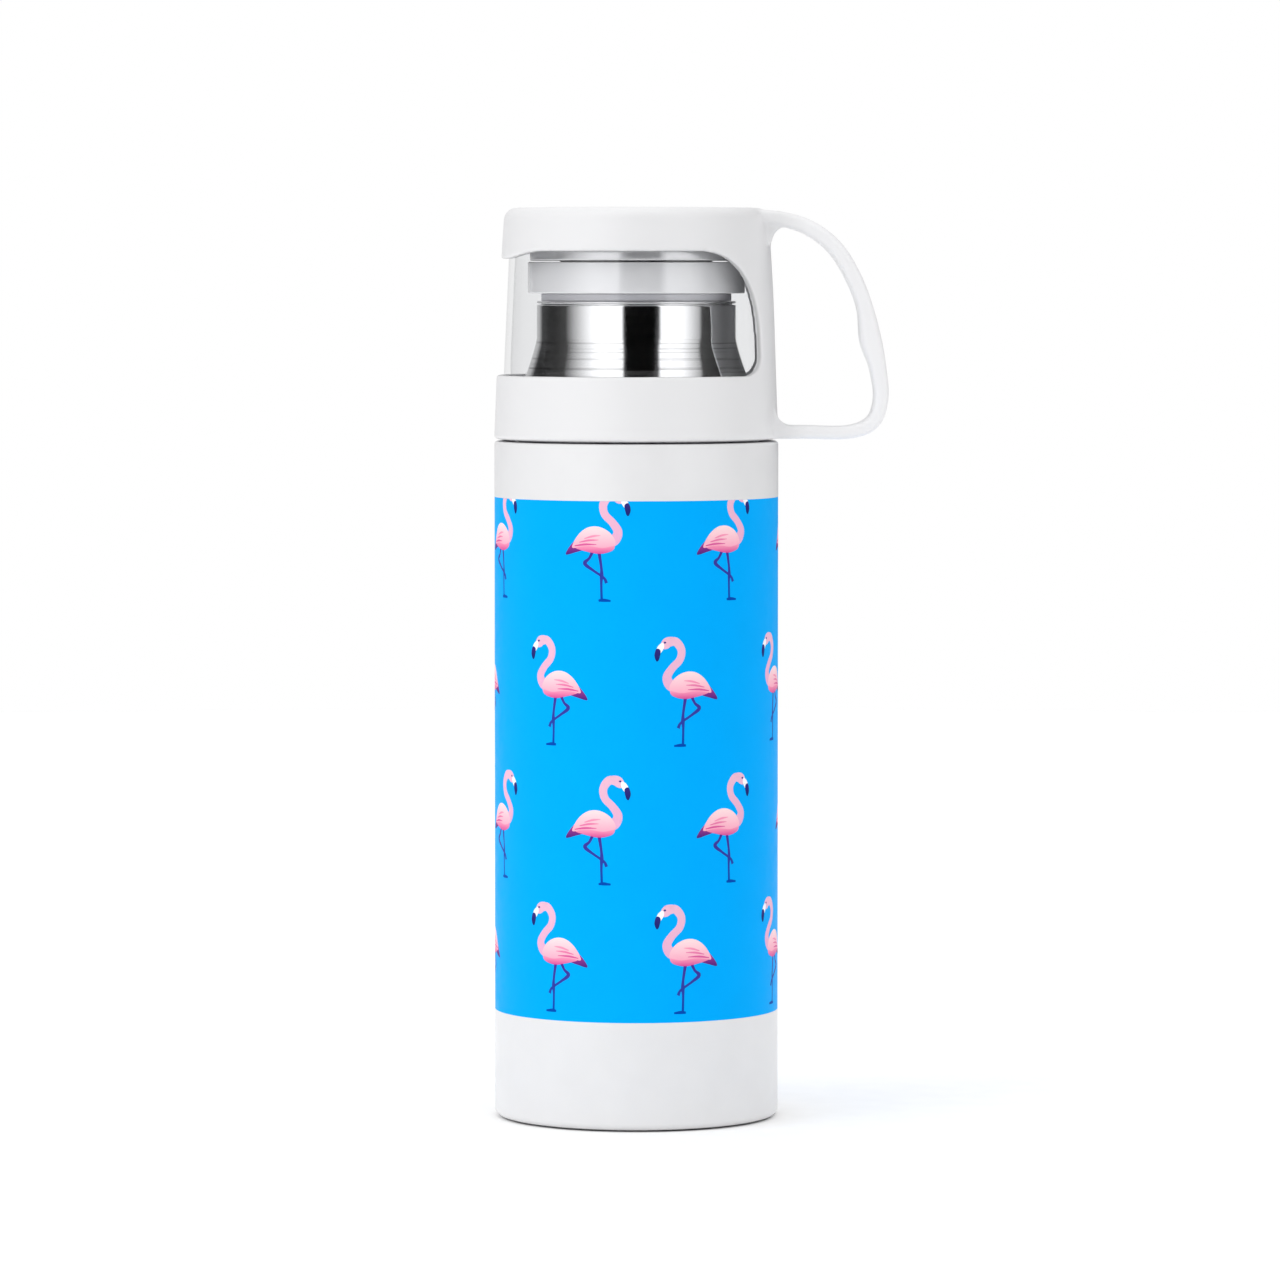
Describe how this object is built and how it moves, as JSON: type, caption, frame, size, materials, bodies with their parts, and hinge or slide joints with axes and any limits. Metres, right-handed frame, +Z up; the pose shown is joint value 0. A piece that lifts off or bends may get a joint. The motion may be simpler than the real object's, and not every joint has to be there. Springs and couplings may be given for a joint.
{
  "type": "vacuum flask",
  "caption": "Upright double-walled vacuum flask with a push-button screw stopper and a windowed mug with a handle that screws on upside down as the lid.",
  "frame": {"origin": "centre of the face that the flask stands on, on the flask's axis", "axes": "+Z up along the flask's axis, +X towards the mug's handle, -Y towards the front"},
  "size_m": [0.097, 0.07, 0.2243],
  "materials": {
    "white_coating": "satin white powder coating",
    "blue_print": "satin printed film, bright blue with a repeated pattern",
    "brushed_steel": "turned and polished stainless steel",
    "copper_foil": "bright copper foil",
    "white_plastic": "satin moulded white plastic",
    "clear_plastic": "clear polished plastic",
    "stopper_plastic": "pale grey moulded plastic",
    "silicone": "translucent silicone",
    "base_rubber": "matt rubber",
    "foam": "white insulating foam"
  },
  "bodies": {
    "flask": {"outer_shell": "white_coating", "printed_wrap": "blue_print", "steel_neck": "brushed_steel", "inner_vessel": "brushed_steel", "inner_base": "brushed_steel", "radiation_foil": "copper_foil", "getter_capsule": "brushed_steel", "outer_base": "brushed_steel", "vacuum_seal_plug": "brushed_steel", "base_pad": "base_rubber"},
    "stopper_carrier": {"stopper_gasket": "silicone"},
    "stopper": {"stopper_body": "stopper_plastic", "neck_seal": "silicone", "stopper_core": "stopper_plastic", "stopper_insulation": "foam", "stopper_cover": "stopper_plastic", "button_spring": "brushed_steel"},
    "button": {"push_button": "stopper_plastic", "valve_stem": "stopper_plastic", "valve_seal": "silicone", "valve_nut": "stopper_plastic"},
    "cup_carrier": {"cup_gasket": "silicone"},
    "cup": {"cup_frame": "white_plastic", "cup_insert": "clear_plastic"}
  },
  "joints": [
    {"name": "stopper_lift", "type": "slide", "parent": "flask", "child": "stopper_carrier", "axis": [0, 0, 1], "range_m": [0, 0.045]},
    {"name": "stopper_turn", "type": "hinge", "parent": "stopper_carrier", "child": "stopper", "pos_m": [0, 0, 0.203], "axis": [0, 0, 1], "range_deg": [0, 540]},
    {"name": "button_press", "type": "slide", "parent": "stopper", "child": "button", "axis": [0, 0, -1], "range_m": [0, 0.0035], "stiffness_N_per_m": 300, "springref_m": -0.006, "deforming": ["button_spring"]},
    {"name": "cup_lift", "type": "slide", "parent": "stopper_carrier", "child": "cup_carrier", "axis": [0, 0, 1], "range_m": [0, 0.065]},
    {"name": "cup_turn", "type": "hinge", "parent": "cup_carrier", "child": "cup", "pos_m": [0, 0, 0.1676], "axis": [0, 0, 1], "range_deg": [0, 450]}
  ]
}
